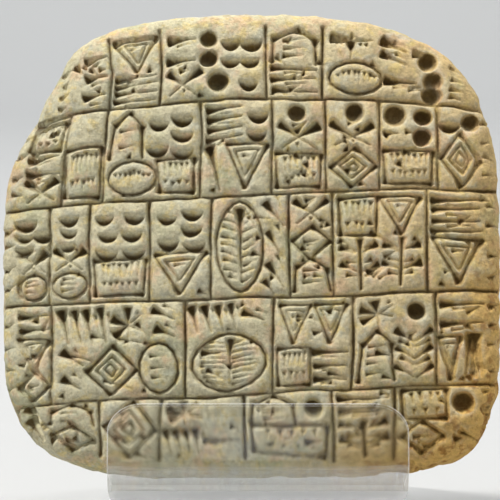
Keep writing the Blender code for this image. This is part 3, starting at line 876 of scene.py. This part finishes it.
clay = {
    "pale": screen(209, 201, 168),
    "warm": screen(206, 178, 124),
    "ochre": screen(212, 166, 80),
    "rust": screen(142, 88, 30),
    "patches": (
        {"color": screen(172, 174, 136), "scale": 110.0, "low": 0.48, "high": 0.66, "share": 0.6},
        {"color": screen(222, 182, 144), "scale": 210.0, "low": 0.50, "high": 0.66, "share": 0.55},
        {"color": screen(184, 187, 172), "scale": 300.0, "low": 0.52, "high": 0.68, "share": 0.5},
        {"color": screen(220, 196, 122), "scale": 460.0, "low": 0.50, "high": 0.66, "share": 0.55},
    ),
    # The dark colour of the clay's specks, and of the painted shade and dirt laid into its hollows
    "dirtAndShade": screen(80, 58, 14),
    # A pale worn colour, laid on the raised ridges also as a painted highlight
    "wornAndHighlight": screen(226, 220, 194),
    "ochreShare": 0.75,
    "rustShare": 0.75,
    "speckShare": 0.28,
    "dirtAndShadeShare": 0.9,
    "wornAndHighlightShare": 0.4,
    "roughness": 0.88,
    "gloss": 0.25,
    "grain": 0.8,
    "grainDepth": 0.00035,
    "mottle": 0.10,
}
# The edge finish is a whitish, nearly opaque acrylic; its glow, and the bend's, is painted light
acrylic = {
    "sheet": {"color": screen(247, 250, 251), "roughness": 0.0, "ior": 1.49, "transmission": 1.0,
              "alpha": 0.4, "glow": 0.0},
    "edge": {"color": screen(252, 254, 255), "roughness": 0.3, "ior": 1.49, "transmission": 0.0,
             "alpha": 0.9, "glow": 0.22},
    "bend": {"color": screen(250, 251, 251), "roughness": 0.25, "ior": 1.49, "transmission": 0.3,
             "alpha": 0.6, "glow": 0.12},
}


class Nodes:
    def __init__(self, name):
        self.material = bpy.data.materials.new(name)
        self.material.use_nodes = True
        self.tree = self.material.node_tree
        self.shader = self.tree.nodes["Principled BSDF"]

    def add(self, kind, values=None, **settings):
        node = self.tree.nodes.new(kind)
        for key, value in settings.items():
            setattr(node, key, value)
        for key, value in (values or {}).items():
            self.put(node.inputs[key], value)
        return node

    def put(self, socket, value):
        if isinstance(value, bpy.types.NodeSocket):
            self.tree.links.new(value, socket)
        else:
            socket.default_value = value

    def noise(self, place, scale, detailLevel=3.0, roughness=0.5):
        node = self.add("ShaderNodeTexNoise", {"Vector": place, "Scale": scale, "Detail": detailLevel,
                                               "Roughness": roughness})
        return node.outputs["Fac"]

    def ramp(self, value, low, high, outLow=0.0, outHigh=1.0):
        node = self.add("ShaderNodeMapRange", {"Value": value, "From Min": low, "From Max": high,
                                               "To Min": outLow, "To Max": outHigh},
                        interpolation_type="SMOOTHSTEP")
        return node.outputs["Result"]

    def math(self, operation, first, second):
        node = self.add("ShaderNodeMath", {0: first, 1: second}, operation=operation)
        return node.outputs[0]

    # Makes a colour lighter or darker by a factor
    def tint(self, color, factor):
        node = self.add("ShaderNodeVectorMath", {"Vector": color, "Scale": factor}, operation="SCALE")
        return node.outputs["Vector"]

    def blend(self, share, first, second, kind="MIX"):
        node = self.add("ShaderNodeMix", data_type="RGBA", blend_type=kind)
        self.put(node.inputs["Factor"], share)
        self.put(node.inputs[6], first)
        self.put(node.inputs[7], second)
        return node.outputs[2]


def clayMaterial():
    nodes = Nodes("clay")
    place = nodes.add("ShaderNodeTexCoord").outputs["Object"]
    split = nodes.add("ShaderNodeSeparateXYZ", {"Vector": place})
    x, z = split.outputs["X"], split.outputs["Z"]
    recess = nodes.add("ShaderNodeAttribute", attribute_name="recess").outputs["Fac"]
    drift = nodes.noise(place, 45.0, 4.0)
    specks = nodes.noise(place, 900.0, 4.0, 0.65)
    # Warmer towards the right edge, ochre in the lower right corner
    toRight = nodes.math("ADD", x, nodes.math("MULTIPLY", nodes.math("SUBTRACT", drift, 0.5), 0.05))
    warmth = nodes.ramp(toRight, -0.010, 0.042)
    lowDown = nodes.math("SUBTRACT", toRight, nodes.math("MULTIPLY", z, 0.55))
    stain = nodes.ramp(lowDown, 0.002, 0.040)
    color = nodes.blend(warmth, clay["pale"], clay["warm"])
    for patch in clay["patches"]:
        cover = nodes.ramp(nodes.noise(place, patch["scale"], 4.0, 0.6), patch["low"], patch["high"])
        color = nodes.blend(nodes.math("MULTIPLY", cover, patch["share"]), color, patch["color"])
    color = nodes.blend(nodes.math("MULTIPLY", stain, clay["ochreShare"]), color, clay["ochre"])
    rust = nodes.math("MULTIPLY", nodes.ramp(nodes.noise(place, 420.0, 5.0, 0.65), 0.50, 0.60), stain)
    color = nodes.blend(nodes.math("MULTIPLY", rust, clay["rustShare"]), color, clay["rust"])
    specked = nodes.math("MULTIPLY", nodes.ramp(specks, 0.44, 0.66), clay["speckShare"])
    color = nodes.blend(specked, color, clay["dirtAndShade"])
    # Painted shade, with some dirt: the deeper a hollow, the darker it is painted
    shadedAndDirty = nodes.ramp(nodes.math("ADD", recess, nodes.math("MULTIPLY", specks, 0.2)), 0.05, 0.75)
    color = nodes.blend(nodes.math("MULTIPLY", shadedAndDirty, clay["dirtAndShadeShare"]), color, clay["dirtAndShade"])
    # Painted highlight, with some wear: the raised ridges are painted paler
    rubbedAndHighlit = nodes.ramp(nodes.math("MULTIPLY", recess, -1.0), 0.05, 0.45)
    color = nodes.blend(nodes.math("MULTIPLY", rubbedAndHighlit, clay["wornAndHighlightShare"]), color, clay["wornAndHighlight"])
    speckle = nodes.noise(place, 2000.0, 2.0, 0.7)
    shade = nodes.ramp(speckle, 0.3, 0.7, 1 - clay["mottle"], 1 + clay["mottle"])
    color = nodes.tint(color, shade)
    nodes.put(nodes.shader.inputs["Base Color"], color)
    nodes.shader.inputs["Roughness"].default_value = clay["roughness"]
    nodes.shader.inputs["Specular IOR Level"].default_value = clay["gloss"]
    grain = nodes.math("ADD", nodes.noise(place, 1500.0, 5.0, 0.7), nodes.math("MULTIPLY", specks, 0.8))
    bump = nodes.add("ShaderNodeBump", {"Height": grain, "Strength": clay["grain"],
                                        "Distance": clay["grainDepth"]})
    nodes.put(nodes.shader.inputs["Normal"], bump.outputs["Normal"])
    return nodes.material


def acrylicMaterial(name, finish):
    nodes = Nodes(name)
    inputs = nodes.shader.inputs
    inputs["Base Color"].default_value = finish["color"]
    inputs["Roughness"].default_value = finish["roughness"]
    inputs["IOR"].default_value = finish["ior"]
    inputs["Transmission Weight"].default_value = finish["transmission"]
    inputs["Alpha"].default_value = finish["alpha"]
    inputs["Emission Color"].default_value = finish["color"]
    inputs["Emission Strength"].default_value = finish["glow"]
    return nodes.material


studio = {
    "floor": screen(190, 191, 191),
    "floorRoughness": 0.55,
    "floorReach": 2.5,
    "wallTop": 2.0,
    "world": screen(216, 216, 214),
    "worldStrength": 0.25,
    "sweepStart": 0.95,
    "sweepRadius": 0.35,
    "sweepSteps": 24,
    "key": {"place": (-0.34, -0.10, 0.75), "aim": (0.0, 0.0, 0.045), "size": 0.14, "power": 6.5,
            "color": (1.0, 0.98, 0.95)},
    "fill": {"place": (0.0, -1.08, 0.57), "aim": (0.0, 0.0, 0.045), "size": 0.5, "power": 1.3,
             "color": (0.95, 0.98, 1.0)},
    "back": {"place": (0.45, 0.10, 0.70), "aim": (0.0, 0.0, 0.045), "size": 0.4, "power": 3.6,
             "color": (1.0, 1.0, 1.0)},
    "wall": {"place": (0.0, 0.70, 0.95), "aim": (0.0, 1.25, 0.05), "size": 0.8, "power": 7.4,
             "color": (0.98, 0.99, 1.0)},
}
view = {
    "azimuth": 0.0,
    "elevation": math.radians(6),
    "distance": 0.70,
    "film": 36.0,
    "acrossFrame": 0.0857,
    "aimRight": -0.00034,
    "aimUp": -0.00075,
}


# A floor that turns up into a backdrop in one smooth sweep
def makeFloor():
    start, radius, far = studio["sweepStart"], studio["sweepRadius"], studio["floorReach"]
    profile = [(-far, 0.0), (start, 0.0)]
    profile += [(start + radius * math.sin(turn), radius * (1 - math.cos(turn)))
                for turn in np.linspace(0, math.pi / 2, studio["sweepSteps"])[1:]]
    profile.append((start + radius, studio["wallTop"]))
    vertices = [(side * far, y, z) for y, z in profile for side in (-1, 1)]
    faces = [(2 * step, 2 * step + 1, 2 * step + 3, 2 * step + 2) for step in range(len(profile) - 1)]
    mesh = bpy.data.meshes.new("floor")
    mesh.from_pydata(vertices, [], faces)
    mesh.shade_smooth()
    floor = newObject("floor", mesh)
    nodes = Nodes("floor")
    nodes.shader.inputs["Base Color"].default_value = studio["floor"]
    nodes.shader.inputs["Roughness"].default_value = studio["floorRoughness"]
    mesh.materials.append(nodes.material)
    return floor


def areaLight(name):
    settings = studio[name]
    lamp = bpy.data.lights.new(name, "AREA")
    lamp.shape = "DISK"
    lamp.size = settings["size"]
    lamp.energy = settings["power"]
    lamp.color = settings["color"]
    made = newObject(name, lamp)
    made.location = settings["place"]
    made.rotation_euler = (Vector(settings["aim"]) - made.location).to_track_quat("-Z", "Y").to_euler()


def setView(middle):
    turn, rise = view["azimuth"], view["elevation"]
    toCamera = Vector((-math.sin(turn) * math.cos(rise), -math.cos(turn) * math.cos(rise), math.sin(rise)))
    upwards = Vector((0, math.sin(rise), math.cos(rise)))
    aim = middle + Vector((view["aimRight"], 0, 0)) + upwards * view["aimUp"]
    lens = bpy.data.cameras.new("camera")
    lens.sensor_width = view["film"]
    lens.lens = view["film"] * view["distance"] / view["acrossFrame"]
    lens.clip_start = 0.01
    camera = newObject("camera", lens)
    camera.location = aim + toCamera * view["distance"]
    camera.rotation_euler = (-toCamera).to_track_quat("-Z", "Y").to_euler()
    bpy.context.scene.camera = camera


matrix, corners, bend = tabletPlace()
tabletObject = makeTablet(matrix)
tabletObject.data.materials.append(clayMaterial())
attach(tabletObject, "root")
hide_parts("tablet")

standObject = makeStand(roundedPath(corners, bend, stand["bendSteps"]),
                        acrylicMaterial("clear_acrylic", acrylic["sheet"]),
                        acrylicMaterial("clear_acrylic_edge_glow", acrylic["edge"]),
                        acrylicMaterial("clear_acrylic_bend_glow", acrylic["bend"]))
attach(standObject, "root")
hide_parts("stand")

makeFloor()
middle = matrix @ Vector((0, 0, 0))
for name in ("key", "fill", "back", "wall"):
    areaLight(name)
world = bpy.data.worlds.new("world")
world.use_nodes = True
world.node_tree.nodes["Background"].inputs["Color"].default_value = studio["world"]
world.node_tree.nodes["Background"].inputs["Strength"].default_value = studio["worldStrength"]
bpy.context.scene.world = world
bpy.context.scene.view_settings.view_transform = "Standard"
setView(middle)
print("lights and camera set")
